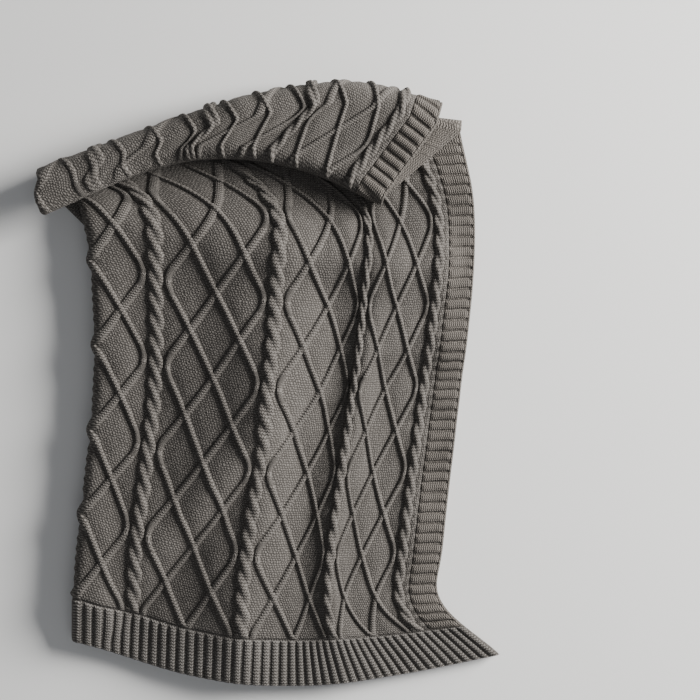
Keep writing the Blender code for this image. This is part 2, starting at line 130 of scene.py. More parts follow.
# Where each line of the folded throw lies on the floor, at five stations from the lengthwise fold to the
# free edge. x to the right, y away from the hem, both less MIDDLE, which puts the origin in the middle of
# the footprint. The front runs from hem to turn, then come the tuck, lip, flap, ridge and bottom.
STATIONS = np.array([0.0, 0.25, 0.5, 0.75, 1.0])
MIDDLE = (0.0011, 0.0021)
LINES = {
    # name: (x at the stations, y at the stations)
    "hem": ((-0.246, -0.105, 0.035, 0.168, 0.302), (-0.334, -0.376, -0.391, -0.378, -0.352)),
    "foot": ((-0.242, -0.101, 0.034, 0.122, 0.226), (-0.268, -0.298, -0.308, -0.300, -0.282)),
    "low": ((-0.236, -0.094, 0.037, 0.121, 0.229), (-0.200, -0.219, -0.225, -0.219, -0.203)),
    "middle": ((-0.216, -0.067, 0.064, 0.149, 0.251), (-0.013, -0.021, -0.023, -0.021, -0.010)),
    "upper": ((-0.217, -0.060, 0.080, 0.167, 0.266), (0.125, 0.120, 0.117, 0.118, 0.127)),
    "neck": ((-0.232, -0.062, 0.076, 0.168, 0.268), (0.226, 0.229, 0.231, 0.231, 0.235)),
    "turn": ((-0.268, -0.140, -0.015, 0.110, 0.250), (0.262, 0.307, 0.337, 0.345, 0.330)),
    "lip": ((-0.290, -0.152, -0.045, 0.058, 0.153), (0.236, 0.294, 0.308, 0.290, 0.247)),
    "ridge": ((-0.287, -0.134, 0.002, 0.116, 0.218), (0.264, 0.314, 0.350, 0.362, 0.335)),
    "under": ((-0.212, -0.095, 0.025, 0.130, 0.236), (0.190, 0.235, 0.260, 0.270, 0.250)),
    "end": ((-0.215, -0.085, 0.040, 0.142, 0.250), (-0.285, -0.115, 0.020, 0.080, 0.075)),
}
FRONT_LINES = ("hem", "foot", "low", "middle", "upper", "neck", "turn")
FRONT_STEPS = 61
TURN_BEND, LIP_BEND, RIDGE_BEND = 6, 8, 10
FINE_BEND = 4
NOSE_BEND = 13
# How far the ridge bulges out past its line, as a share of half its height: (across, share)
RIDGE_BULGE = ((0.0, 0.55), (0.25, 0.78), (0.45, 1.0), (1.0, 1.0))

# Soft folds that lift the showing ply off the one below
SOFT_FOLDS = {
    # name: (reach to the left, reach to the right, ((across 0-1, along m, height m), ...))
    "main": (0.175, 0.100, (
        (0.37, -0.02, 0.014), (0.37, 0.10, 0.032), (0.38, 0.30, 0.040),
        (0.37, 0.45, 0.036), (0.36, 0.56, 0.020), (0.35, 0.66, 0.0),
    )),
    "second": (0.080, 0.090, (
        (0.62, -0.02, 0.006), (0.62, 0.12, 0.018), (0.63, 0.30, 0.022),
        (0.66, 0.44, 0.018), (0.68, 0.60, 0.0),
    )),
    "flap": (0.300, 0.200, ((0.40, 0.60, 0.009), (0.45, 1.10, 0.009))),
}
# How a soft fold falls off to its sides: rounding of its top, power and rate
BELL_SOFT, BELL_POWER, BELL_FALL = 0.003, 1.4, 1.6
# The crest along the turn at the stations, and the puff of the lengthwise fold
CREST = {
    "along": (0.55, 0.56, 0.565, 0.555, 0.55),
    "height": (0.002, 0.012, 0.020, 0.016, 0.003),
    "reach": 0.055,
    "fall": 2,
}
PUFF = {"height": 0.008, "until": 0.62, "fade": 0.05, "reach": 0.05}
# Over what length lift, ripple and relief fade, and over what share across they do at the free edge
EDGE_LEVEL = 0.12
FRONT_FADE = 0.05
FLAP_FADE = 0.03
RELIEF_FADE = 0.012
# How far the flap reaches over the front, measured back from the turn: (across, length)
COVERED = ((0.0, 0.016), (0.25, 0.022), (0.5, 0.062), (0.6, 0.118), (0.75, 0.100), (0.85, 0.050), (1.0, 0.0))

# Slow waves of loose cloth, along and across in metres, and quicker ones at its free edge
WAVE_HIGH, WAVES = 0.0016, ((0.173, 0.31), (0.41, 0.147))
EDGE_WAVE_HIGH, EDGE_WAVE = 0.0018, 0.088

# Shares and sizes in the yarn's node groups
LEG_SWELL, LEG_BODY = 0.22, 0.66
ROW_SHIFT = 0.36
DASH_SWELL, DASH_BODY = 0.26, 0.42
HAND_SCALE, FIBRE_SCALE, HEATHER_SCALE = 190, 900, 34
HEATHER_DRIFT = 0.25
FIBRE_BUMP = 0.30
ROUGH_SWING, ROUGH_LEAST = 0.12, 0.84

# The stage
FLOOR_SIZE = 9
FLOOR_DROP = 0.0006
FLOOR_SHADE = 0.97
AIM_HIGH = 0.03
AIM = Vector((0.1055, 0.045, AIM_HIGH))
LAMPS = (
    # name, place, size, colour
    ("key", (2.95, 1.10, 1.38), 1.6, (1.0, 0.985, 0.96)),
    ("fill", (0.4, -1.4, 2.6), 2.0, (0.96, 0.98, 1.0)),
)
WORLD_COLOUR = (0.93, 0.95, 1.0, 1)
WORLD_STRENGTH = 0.18
SENSOR = 36


def smooth(at, xs, ys):
    """A smooth curve through the points (xs, ys), for numbers or for rows of points."""
    xs, ys = np.asarray(xs, float), np.asarray(ys, float)
    at = np.clip(np.asarray(at, float), xs[0], xs[-1])
    slope = np.gradient(ys, xs, axis=0)
    i = np.clip(np.searchsorted(xs, at, side="right") - 1, 0, len(xs) - 2)
    span = xs[i + 1] - xs[i]
    w = (at - xs[i]) / span
    extra = (1,) * (ys.ndim - 1)
    w, span = w.reshape(w.shape + extra), span.reshape(span.shape + extra)
    a, b = ys[i], ys[i + 1]
    left, right = slope[i] * span, slope[i + 1] * span
    return a + w * (left + w * (3 * (b - a) - 2 * left - right + w * (left + right - 2 * (b - a))))


def step(x):
    x = np.clip(x, 0, 1)
    return x * x * (3 - 2 * x)


def share(s):
    """How far points lie from the lengthwise fold to the free edge, 0 to 1."""
    return np.clip((np.abs(s) - NOSE) / HALF, 0, 1)


def plan(line, across):
    x, y = LINES[line]
    return np.stack([smooth(across, STATIONS, x), smooth(across, STATIONS, y)], -1) - MIDDLE


def outward(line, across, up):
    """The level direction square to a line, away from the hem or toward it."""
    near = 0.02
    d = plan(line, np.minimum(across + near, 1)) - plan(line, np.maximum(across - near, 0))
    n = np.stack([-d[..., 1], d[..., 0]], -1) * up
    return n / np.linalg.norm(n, axis=-1, keepdims=True)


def bend(line, across, up, z_from, z_to, count, bulge=1.0):
    """The half circle by which the doubled throw turns over at a line, narrowed by bulge."""
    centre, out = plan(line, across), outward(line, across, up) * np.reshape(bulge, (-1, 1))
    r = (z_to - z_from) / 2
    for k in range(count + 1):
        turn = math.pi * k / count
        level = centre + out * abs(r) * math.sin(turn)
        height = (z_from + z_to) / 2 - r * math.cos(turn)
        yield np.column_stack([level, np.full(len(across), height)])


def raised(level, z):
    return np.column_stack([level, np.broadcast_to(z, len(level))])


def turns(across):
    """The three turns of the stack, after the front: (name, the middles along it)."""
    bulge = np.interp(across, *np.array(RIDGE_BULGE).T)
    return [
        ("turn", list(bend("turn", across, 1, Z_FRONT, Z_TUCK, TURN_BEND * FINE_BEND))),
        ("lip", list(bend("lip", across, -1, Z_TUCK, Z_FLAP, LIP_BEND * FINE_BEND))),
        ("ridge", list(bend("ridge", across, 1, Z_FLAP, Z_BOTTOM, RIDGE_BEND * FINE_BEND, bulge))),
    ]


def section(across):
    """The doubled throw's middle at each station across, hem to hidden end: (points, names of the rows)."""
    front = np.stack([plan(name, across) for name in FRONT_LINES])
    level = smooth(np.linspace(0, len(FRONT_LINES) - 1, FRONT_STEPS), np.arange(len(FRONT_LINES)), front)
    rows = [raised(points, Z_FRONT) for points in level]
    names = ["front"] * len(rows)
    for name, points in turns(across):
        rows += points
        names += [name] * len(points)
    # The bottom layer takes the rest of the length, and the front comes down to the floor past its end.
    rest = LENGTH - np.linalg.norm(np.diff(rows, axis=0), axis=2).sum(axis=0)
    under = plan("under", across)
    rest -= np.linalg.norm(under - plan("ridge", across), axis=1)
    away = plan("end", across) - under
    away /= np.linalg.norm(away, axis=1, keepdims=True)
    end = under + away * rest[:, None]
    for k, points in enumerate(level):
        past = points[:, 1] - np.interp(points[:, 0], end[:, 0], end[:, 1])
        lift = step(past / STEP_RUN + STEP_LEAD)
        rows[k] = raised(points, Z_BOTTOM + (Z_FRONT - Z_BOTTOM) * lift)
    rows += [raised(under, Z_BOTTOM), raised(under + away, Z_BOTTOM)]
    names += ["bottom", "bottom"]
    return np.array(rows), names


class Folds:
    """The fold map, sampled finely: a point of the flat throw to its place and outward direction in space."""

    def __init__(self, across_count=129, along_count=1521):
        self.across = np.linspace(0, 1, across_count)
        self.along = np.linspace(0, LENGTH, along_count)
        rows, names = section(self.across)
        steps = np.linalg.norm(np.diff(rows, axis=0), axis=2)
        run = np.vstack([np.zeros(across_count), np.cumsum(steps, axis=0)])
        self.starts = {n: run[names.index(n)] for n in ("turn", "lip", "ridge")}
        self.ends = {n: run[len(names) - 1 - names[::-1].index(n)] for n in ("turn", "lip", "ridge")}
        mid = np.empty((across_count, along_count, 3))
        for i in range(across_count):
            for axis in range(3):
                mid[i, :, axis] = np.interp(self.along, run[:, i], rows[:, i, axis])
        normal = np.cross(np.gradient(mid, axis=0), np.gradient(mid, axis=1))
        normal /= np.linalg.norm(normal, axis=2, keepdims=True)
        left = -np.gradient(mid, axis=0)[0]
        left /= np.linalg.norm(left, axis=1, keepdims=True)
        lift = self.lift(self.across[:, None], self.along[None, :])
        top = mid + normal * PLY_OFFSET + lift[..., None] * (0, 0, 1)
        under = mid - normal * PLY_OFFSET
        nose = []
        for turn in np.linspace(-90, 90, NOSE_BEND)[1:-1]:
            r = PLY_OFFSET + lift[0] / 2
            c = mid[0] + (lift[0] / 2)[:, None] * (0, 0, 1)
            reach = math.cos(math.radians(turn)) * left + math.sin(math.radians(turn)) * normal[0]
            nose.append(c + reach * r[:, None])
        round_fold = np.linspace(-NOSE, NOSE, NOSE_BEND)[1:-1]
        self.s = np.concatenate([-NOSE - self.across[::-1] * HALF, round_fold, NOSE + self.across * HALF])
        self.place = np.concatenate([under[::-1], np.array(nose), top])
        ds = np.gradient(self.place, self.s, axis=0)
        dt = np.gradient(self.place, self.along, axis=1)
        out = np.cross(ds, dt)
        self.out = out / np.linalg.norm(out, axis=2, keepdims=True)

    def start(self, name, across):
        """The length at which a turn starts."""
        return np.interp(across, self.across, self.starts[name])

    def end(self, name, across):
        """The length at which a turn ends."""
        return np.interp(across, self.across, self.ends[name])

    def lift(self, across, along):
        """How far the showing ply is lifted off the one below."""
        across, along = np.broadcast_arrays(across, along)
        high = np.zeros(across.shape)
        flap_high = np.zeros(across.shape)
        for name, (left, right, path) in SOFT_FOLDS.items():
            at, t, peak = np.array(path).T
            middle = smooth(along, t, at) * HALF
            top = np.clip(smooth(along, t, peak), 0, None) * (along >= t[0]) * (along <= t[-1])
            away = across * HALF - middle
            part = np.sqrt((away / np.where(away < 0, left, right)) ** 2 + BELL_SOFT)
            bell = top * np.exp(-(part ** BELL_POWER - BELL_SOFT ** (BELL_POWER / 2)) * BELL_FALL)
            if name == "flap":
                flap_high = flap_high + bell
            else:
                high = high + bell
        crest = smooth(across, STATIONS, CREST["along"])
        crest_top = smooth(across, STATIONS, CREST["height"])
        high = high + crest_top * np.exp(-(((along - crest) / CREST["reach"]) ** 2) * CREST["fall"])
        puff = PUFF["height"] * step((PUFF["until"] - along) / PUFF["fade"])
        high = high + puff * np.exp(-((across * HALF / PUFF["reach"]) ** 2))
        edge = step((1 - across) / EDGE_LEVEL)
        front = step((self.cover(across) - along) / FRONT_FADE)
        past_ridge = self.start("ridge", across) + 0.04
        flap = step((along - self.start("lip", across)) / FLAP_FADE) * step((past_ridge - along) / FLAP_FADE)
        return (high * front + flap_high * flap) * edge

    def cover(self, across):
        """The length at which the flap starts to hide the front."""
        return self.start("turn", across) - np.interp(across, *np.array(COVERED).T)

    def shows(self, s, t):
        """1 where the ply shows, 0 where it is hidden and so is plain."""
        across = share(s)
        front = step((self.cover(across) - t) / RELIEF_FADE)
        lip = np.interp(across, self.across, (self.starts["lip"] + self.ends["lip"]) / 2)
        flap = step((t - lip) / RELIEF_FADE) * step((self.end("ridge", across) - 0.006 - t) / 0.020)
        return np.maximum(front, flap) * step((s + NOSE / 2) / 0.004)

    def slack(self, s, t):
        """1 where the knitting stands full, less where the flap draws together at the lengthwise fold."""
        across = share(s)
        return 1 - 0.45 * step((0.42 - across) / 0.3) * (t > self.start("lip", across))

    def loose(self, s, t):
        """1 where the top ply lies open and may ripple, 0 where it is hidden or bent, less at the hem."""
        across = share(s)
        front = step((self.cover(across) - 0.03 - t) / FRONT_FADE) * step((t + 0.02) / 0.06)
        lip, ridge = self.end("lip", across), self.start("ridge", across)
        flap = step((t - lip - 0.01) / FLAP_FADE) * step((ridge - t) / FLAP_FADE)
        return np.maximum(front, flap) * step((s - NOSE) / 0.04)

    def at(self, s, t, h):
        """The place in space of points h out from the ply's middle."""
        i = np.clip(np.searchsorted(self.s, s, side="right") - 1, 0, len(self.s) - 2)
        j = np.clip(np.searchsorted(self.along, t, side="right") - 1, 0, len(self.along) - 2)
        a = np.clip((s - self.s[i]) / (self.s[i + 1] - self.s[i]), 0, 1)[:, None]
        b = np.clip((t - self.along[j]) / (self.along[j + 1] - self.along[j]), 0, 1)[:, None]
        found = []
        for grid in (self.place, self.out):
            found.append((grid[i, j] * (1 - a) + grid[i + 1, j] * a) * (1 - b)
                         + (grid[i, j + 1] * (1 - a) + grid[i + 1, j + 1] * a) * b)
        out = found[1] / np.linalg.norm(found[1], axis=1, keepdims=True)
        return found[0] + out * h[:, None]

    def rows(self, across):
        """The lengths at which the fold map bends, at one station across."""
        front_rows, flap_rows, bottom_rows = 40, 9, 14
        rows = list(np.linspace(0, self.start("turn", across) - 0.01, front_rows))
        for name, count in (("turn", TURN_BEND * 2), ("lip", LIP_BEND * 2), ("ridge", RIDGE_BEND * 2)):
            rows += list(np.linspace(self.start(name, across), self.end(name, across), count + 1))
        rows += list(np.linspace(self.end("lip", across), self.start("ridge", across), flap_rows)[1:-1])
        rows += list(np.linspace(self.end("ridge", across), LENGTH, bottom_rows)[1:])
        return rows


def strand_path(turn):
    """Where a lattice strand stands across its panel, 0 to 1, and its slope: a zigzag with round turns."""
    turn = np.mod(turn, 4.0)
    place = np.where(turn < 2, turn / 2, 2 - turn / 2)
    slope = np.where(turn < 2, 0.5, -0.5)
    for peak, side in ((0, 1), (2, -1), (4, 1)):
        away = turn - peak
        near = np.abs(away) < ROUNDING
        low = ROUNDING / 4 + away ** 2 / (4 * ROUNDING)
        place = np.where(near, low if side > 0 else 1 - low, place)
        slope = np.where(near, side * away / (2 * ROUNDING), slope)
    return place, slope


def strand_at(s, t, k):
    """For strand k of the panel at s: distance from its middle, how far it lies over, length along it."""
    panel = np.round(s / REPEAT)
    place, slope = strand_path((t - END_BORDER) / BOUNCE - k)
    lean = slope * SWING / BOUNCE
    away = (s - panel * REPEAT - (place - 0.5) * SWING) / np.sqrt(1 + lean ** 2)
    away = np.where(np.abs(panel) > OUTER_PANEL, FAR, away)
    return away, 0.5 - slope, t * np.sqrt(1 + lean ** 2)


def rope_at(s, t, k):
    """For strand k of the rope at s: distance from its middle, how far forward it stands, -1 to 1."""
    middle = (np.floor(s / REPEAT) + 0.5) * REPEAT
    phase = math.pi * ((t - END_BORDER) / CABLE_PITCH + k)
    return s - middle - STRAND_SWING * np.cos(phase), np.sin(phase)


def dome(away, half):
    return np.sqrt(np.clip(1 - (away / half) ** 2, 0, 1))


def knitting(s, t, knit):
    """The centre panel's relief at flat points: (height, number of the strand that shows, 0 for none)."""
    heights = []
    nearest = np.full(len(s), FAR)
    for k in range(STRANDS):
        away, over, _ = strand_at(s, t, k)
        half = UNDER_WIDE + (OVER_WIDE - UNDER_WIDE) * over
        high = knit.under_high + (knit.over_high - knit.under_high) * over
        heights.append(high * dome(away, half))
        nearest = np.minimum(nearest, np.abs(away) - half)
    for k in range(ROPE_STRANDS):
        away, forward = rope_at(s, t, k)
        inside = np.abs(away) < STRAND_HALF
        crown = dome(away, STRAND_HALF)
        round_top = knit.rope_high * (ROPE_BODY + ROPE_FORWARD * forward + ROPE_DOME * crown)
        heights.append(np.where(inside, round_top * crown ** ROPE_SQUARE, 0))
        nearest = np.minimum(nearest, np.abs(away) - STRAND_HALF)
    heights = np.array(heights)
    order = np.sort(heights, axis=0)
    shown = np.where(order[-1] > BARE, heights.argmax(axis=0) + 1, 0)
    groove = -GROOVE_DEEP * np.exp(-(np.clip(nearest, 0, 1) / GROOVE_WIDE) ** 2)
    puff = PUFF_HIGH * step((nearest - PUFF_START) / PUFF_RUN)
    return np.where(shown > 0, order[-1] + CROSSING * order[-2], groove + puff), shown


def ripple(s, t):
    """Slow unevenness of cloth that lies loose."""
    (t1, s1), (t2, s2) = WAVES
    wave = np.sin(2 * math.pi * (t / t1 + s / s1)) * np.sin(2 * math.pi * (s / s2 - t / t2))
    sway = 0.3 * np.sin(t / 0.061)
    edge = step((s - WIDTH / 2 + 0.16) / 0.12) * np.sin(2 * math.pi * (t / EDGE_WAVE + sway))
    return WAVE_HIGH * wave + EDGE_WAVE_HIGH * edge


def rib(away):
    """One rib's profile, from its middle out."""
    return dome(away, RIB_WIDE) ** 0.8


def from_rib(x):
    """The distance from the nearest rib's middle."""
    turn = x / RIB_PITCH - 0.5
    return (turn - np.round(turn)) * RIB_PITCH


def rib_marks(start, end):
    """Distances at which a row of ribs needs points."""
    first, last = int(start / RIB_PITCH) - 1, int(end / RIB_PITCH) + 1
    marks = [(k + 0.5) * RIB_PITCH + o for k in range(first, last + 1) for o in RIB_OFFSETS]
    return [m for m in sorted(marks) if start + 0.0006 < m < end - 0.0006]


def edge_loop(box, marks_s, marks_t):
    """The points round a rectangle of the flat throw, counter-clockwise."""
    (s0, s1), (t0, t1) = box
    across = [s for s in marks_s if s0 + EDGE_CLEAR < s < s1 - EDGE_CLEAR]
    along = {s: [t for t in marks_t(s) if t0 + EDGE_CLEAR < t < t1 - EDGE_CLEAR] for s in (s0, s1)}
    near = [(s0, t0)] + [(s, t0) for s in across] + [(s1, t0)]
    far = [(s1, t1)] + [(s, t1) for s in across[::-1]] + [(s0, t1)]
    return near + [(s1, t) for t in along[s1]] + far + [(s0, t) for t in along[s0][::-1]]


def plain_marks_s():
    """Distances across at which every piece's ends have points."""
    shown = list(np.arange(-0.625, 0.626, 0.00625))
    return sorted({round(s, 6) for s in shown if abs(s) > NOSE + 0.001} | set(nose_columns()))


def plain_marks_t(folds):
    """Distances along at which side edges have points: even steps, and the fold map's rows between."""
    even = 0.0043

    def of(s):
        kept = list(np.arange(even, LENGTH, even))
        rows = [t for t in folds.rows(share(s)) if np.abs(np.array(kept) - t).min() > 0.001]
        return sorted(kept + rows)
    return of


def clear_of(points, box, near):
    """Which points are inside a box by some distance."""
    (s0, s1), (t0, t1) = box
    s, t = points[:, 0], points[:, 1]
    return (s > s0 + near) & (s < s1 - near) & (t > t0 + near) & (t < t1 - near)


def shown_in(folds, points, box, near):
    """Which points are inside a box by some distance and on the ply that shows."""
    return clear_of(points, box, near) & (folds.shows(points[:, 0], points[:, 1]) > HIDDEN)


def chains(columns, keep):
    """Points from columns of equal length, and the lines that join the kept ones along each column."""
    number = np.full(columns.shape[:2], -1)
    number[keep] = np.arange(keep.sum())
    pairs = (number[:, :-1] >= 0) & (number[:, 1:] >= 0)
    lines = np.stack([number[:, :-1][pairs], number[:, 1:][pairs]], 1)
    return columns[keep], lines


def fold_rows(folds, box, stations, hidden_only):
    """Points on the fold map's rows at distances across, with lines along the rows and up the fold."""
    table = np.array([[(s, t) for t in folds.rows(share(s))] for s in stations])
    keep = clear_of(table.reshape(-1, 2), box, 0.002).reshape(table.shape[:2])
    if hidden_only:
        flat = table.reshape(-1, 2)
        keep &= (folds.shows(flat[:, 0], flat[:, 1]) < HIDDEN).reshape(keep.shape)
    number = np.full(keep.shape, -1)
    number[keep] = np.arange(keep.sum())
    pairs = (number[:-1] >= 0) & (number[1:] >= 0)
    lines = [np.stack([number[:-1][pairs], number[1:][pairs]], 1)]
    for i, s in enumerate(stations):
        if abs(s) <= NOSE + 1e-9:
            pair = (number[i, :-1] >= 0) & (number[i, 1:] >= 0)
            lines.append(np.stack([number[i, :-1][pair], number[i, 1:][pair]], 1))
    return table[keep], np.vstack(lines)


def triangles(loop, sets):
    """Triangles over a loop and sets of (points, lines) in it: (points, faces, where the loop went)."""
    flat = [np.array(loop)]
    n = len(loop)
    edges = [(i, (i + 1) % n) for i in range(n)]
    total = n
    for points, lines in sets:
        if len(points):
            flat.append(np.asarray(points))
            edges += [(int(i) + total, int(j) + total) for i, j in lines]
            total += len(points)
    flat = np.vstack(flat)
    verts, _, faces, origin, _, _ = delaunay_2d_cdt([Vector(p) for p in flat], edges, [], 1, 1e-6)
    where = np.full(n, -1)
    for new, olds in enumerate(origin):
        for old in olds:
            if old < n:
                where[old] = new
    if (where < 0).any():
        raise ValueError("an edge point was lost")
    points = np.array([tuple(v) for v in verts])
    faces = np.array([tuple(f) for f in faces])
    a, b, c = points[faces[:, 0]], points[faces[:, 1]], points[faces[:, 2]]
    turn = (b[:, 0] - a[:, 0]) * (c[:, 1] - a[:, 1]) - (b[:, 1] - a[:, 1]) * (c[:, 0] - a[:, 0])
    faces[turn < 0] = faces[turn < 0][:, ::-1]
    return points, faces, where


def closed_ply(name, folds, loop, outer, inner, relief, stitches):
    """A closed knitted ply over a rectangle of the flat throw, relief on its outer face, as a new object."""
    top, top_faces, top_loop = triangles(loop, outer)
    low, low_faces, low_loop = triangles(loop, inner)
    low_loop = low_loop + len(top)
    flat = np.vstack([top, low])
    high = np.concatenate([PLY / 2 + relief(top[:, 0], top[:, 1]), np.full(len(low), -PLY / 2)])
    uneven = ripple(flat[:, 0], flat[:, 1]) * folds.loose(flat[:, 0], flat[:, 1])
    place = folds.at(flat[:, 0], flat[:, 1], high + uneven)
    place[:, 2] = np.maximum(place[:, 2], 0.0)
    i, j = np.arange(len(loop)), np.roll(np.arange(len(loop)), -1)
    walls = np.vstack([np.stack([low_loop[i], low_loop[j], top_loop[j]], 1),
                       np.stack([low_loop[i], top_loop[j], top_loop[i]], 1)])
    faces = np.vstack([top_faces, low_faces[:, ::-1] + len(top), walls])
    mesh = bpy.data.meshes.new(name)
    mesh.vertices.add(len(place))
    mesh.vertices.foreach_set("co", place.ravel())
    mesh.loops.add(len(faces) * 3)
    mesh.loops.foreach_set("vertex_index", faces.ravel())
    mesh.polygons.add(len(faces))
    mesh.polygons.foreach_set("loop_start", np.arange(0, len(faces) * 3, 3))
    mesh.polygons.foreach_set("use_smooth", np.ones(len(faces), bool))
    mesh.update(calc_edges=True)
    if mesh.validate():
        raise ValueError(f"{name} has faces that are not sound")
    corner = flat[faces]
    middle = corner.mean(axis=1)
    u, v, strand = stitches(corner, middle)
    strand = np.where(np.arange(len(faces))[:, None] < len(top_faces), strand, 0.0)
    for layer, values in (("flat", corner), ("knit", np.stack([u, v], -1))):
        uv = mesh.uv_layers.new(name=layer)
        uv.uv.foreach_set("vector", values.astype(np.float32).ravel())
    mark = mesh.attributes.new("strand", "FLOAT", "CORNER")
    mark.data.foreach_set("value", np.broadcast_to(strand, (len(faces), 3)).astype(np.float32).ravel())
    obj = bpy.data.objects.new(name, mesh)
    bpy.context.scene.collection.objects.link(obj)
    return obj


def lattice_stitches(corner, middle):
    """Which strand each face shows, and how far across and along it each corner lies."""
    s, t = corner[..., 0], corner[..., 1]
    knit = bpy.context.scene.throw_knit
    _, shown = knitting(middle[:, 0], middle[:, 1], knit)
    u, v, strand = s / COLUMN, t.copy(), np.zeros(len(shown))
    for k in range(STRANDS):
        here = shown == k + 1
        away, _, along = strand_at(s[here], t[here], k)
        u[here], v[here], strand[here] = away / STRAND_COLUMN + 0.5, along, 1.0
    for k in range(ROPE_STRANDS):
        here = shown == STRANDS + k + 1
        away, _ = rope_at(s[here], t[here], k)
        u[here], v[here], strand[here] = away / ROPE_COLUMN, t[here], 1.0
    return u, v, strand[:, None]


def rib_stitches(corner, middle, along):
    """The same for ribs, from each corner's and face's distance past the ribs and its length along them."""
    ribbed = np.abs(from_rib(middle)) < RIB_WIDE
    return corner / RIB_PITCH * STITCHES_A_RIB, along.copy(), ribbed.astype(float)[:, None]


def side_stitches(corner, middle):
    return rib_stitches(corner[..., 1] - END_BORDER, middle[:, 1] - END_BORDER, corner[..., 0])


def end_stitches(corner, middle):
    return rib_stitches(corner[..., 0], middle[:, 0], corner[..., 1])


def lattice_sets(folds, box):
    """Points along the lattice strands and rope cables that show, and in the ground between them."""
    sets = []
    no_lines = np.zeros((0, 2), int)
    first_t, last_t = END_BORDER + 0.002, LENGTH - END_BORDER
    t = np.arange(first_t, last_t, STRAND_STEP)
    for panel in range(OUTER_PANEL + 1):
        for k in range(STRANDS):
            place, slope = strand_path((t - END_BORDER) / BOUNCE - k)
            lean = slope * SWING / BOUNCE
            half = UNDER_WIDE + (OVER_WIDE - UNDER_WIDE) * (0.5 - slope)
            columns = []
            for part in STRAND_OFFSETS:
                s = panel * REPEAT + (place - 0.5) * SWING + part * half * np.sqrt(1 + lean ** 2)
                columns.append(np.stack([s, t], 1))
            columns = np.array(columns)
            flat = columns.reshape(-1, 2)
            keep = shown_in(folds, flat, box, 0.0015) & (flat[:, 0] > -0.004)
            sets.append(chains(columns, keep.reshape(columns.shape[:2])))
    t = np.arange(first_t, last_t, ROPE_STEP)
    for centre in CABLES:
        columns = np.array([np.stack([np.full(len(t), centre + o), t], 1) for o in ROPE_OFFSETS])
        flat = columns.reshape(-1, 2)
        sets.append((flat[shown_in(folds, flat, box, 0.0015)], no_lines))
    across, along = np.arange(-0.002, WIDTH / 2, GROUND_COLUMN), np.arange(0, LENGTH, GROUND_ROW)
    grid = np.stack(np.meshgrid(across, along, indexing="ij"), -1)
    grid[:, 1::2, 0] += GROUND_COLUMN / 2
    flat = grid.reshape(-1, 2)
    flat = flat[shown_in(folds, flat, box, 0.003)]
    near = np.full(len(flat), FAR)
    for k in range(STRANDS):
        near = np.minimum(near, np.abs(strand_at(flat[:, 0], flat[:, 1], k)[0]))
    rope = np.abs(flat[:, 0] - (np.floor(flat[:, 0] / REPEAT) + 0.5) * REPEAT)
    sets.append((flat[(near > 0.0085) & (rope > 0.014)], no_lines))
    return sets


def nose_columns():
    """Distances across round the lengthwise fold."""
    return [NOSE * x for x in np.linspace(-1, 1, NOSE_POINTS)]


def spread(hidden_step, hidden_count, shown_step, shown_count):
    """Distances across: round the lengthwise fold, and even steps on its hidden and showing sides."""
    hidden = [k * hidden_step for k in range(-hidden_count, 0)]
    return sorted(nose_columns() + hidden + [k * shown_step for k in range(1, shown_count + 1)])


METRES = {"subtype": "DISTANCE", "unit": "LENGTH"}


class ThrowKnit(PropertyGroup):
    """Heights of the knitting, colours of the yarn and the painted shade between its stitches"""

    over_high: FloatProperty(name="Upper strand", description="Height of the lattice strands that lie over",
                             default=0.0036, min=0, **METRES)
    under_high: FloatProperty(name="Lower strand", description="Height of the lattice strands that lie under",
                              default=0.0029, min=0, **METRES)
    rope_high: FloatProperty(name="Rope cable", description="Height of the rope cables",
                             default=0.0054, min=0, **METRES)
    rib_high: FloatProperty(name="Rib", description="Height of the borders' ribs",
                            default=0.0029, min=0, **METRES)
    stitch: FloatProperty(name="Stitch", description="Length of one stitch along a column",
                          default=0.0041, min=0.001, **METRES)
    row: FloatProperty(name="Row", description="Height of one row of the ground",
                       default=0.0031, min=0.001, **METRES)
    yarn_light: FloatVectorProperty(name="Light yarn", description="Colour of the yarn's lit fibres",
                                    default=(0.240, 0.222, 0.204), size=3, min=0, max=1, subtype="COLOR")
    # Painted shade: the colour painted between the stitches, where their shade falls
    yarn_painted_shade: FloatVectorProperty(name="Dark yarn", description="Colour between the stitches",
                                   default=(0.038, 0.034, 0.030), size=3, min=0, max=1, subtype="COLOR")


class ThrowStage(PropertyGroup):
    """Floor, light and camera"""

    floor_colour: FloatVectorProperty(name="Floor", description="Colour of the floor", size=3,
                                      default=(0.80, 0.80, 0.79), min=0, max=1, subtype="COLOR")
    key_power: FloatProperty(name="Key light", description="Power of the main light",
                             default=395, min=0, unit="POWER")
    fill_power: FloatProperty(name="Fill light", description="Power of the fill light",
                              default=10, min=0, unit="POWER")
    width_seen: FloatProperty(name="Width seen", description="Width of the floor that the camera takes in",
                              default=0.91, min=0.1, **METRES)
    camera_high: FloatProperty(name="Camera height", description="Height of the camera over the floor",
                               default=2.4, min=0.5, **METRES)


def sockets(group, way, **made):
    """Adds sockets to a group: numbers, colours and, for None, vectors."""
    kinds = {float: "NodeSocketFloat", tuple: "NodeSocketColor", type(None): "NodeSocketVector"}
    for name, default in made.items():
        new = group.interface.new_socket(name=name, in_out=way, socket_type=kinds[type(default)])
        if default is not None:
            new.default_value = default


def maths(tree, operation, a, b=None, c=None):
    """A Math node over sockets or numbers; its result."""
    node = tree.nodes.new("ShaderNodeMath")
    node.operation = operation
    for i, value in enumerate((a, b, c)):
        if value is None:
            continue
        if isinstance(value, (int, float)):
            node.inputs[i].default_value = value
        else:
            tree.links.new(value, node.inputs[i])
    return node.outputs[0]


def group_ends(group):
    return group.nodes.new("NodeGroupInput").outputs, group.nodes.new("NodeGroupOutput").inputs


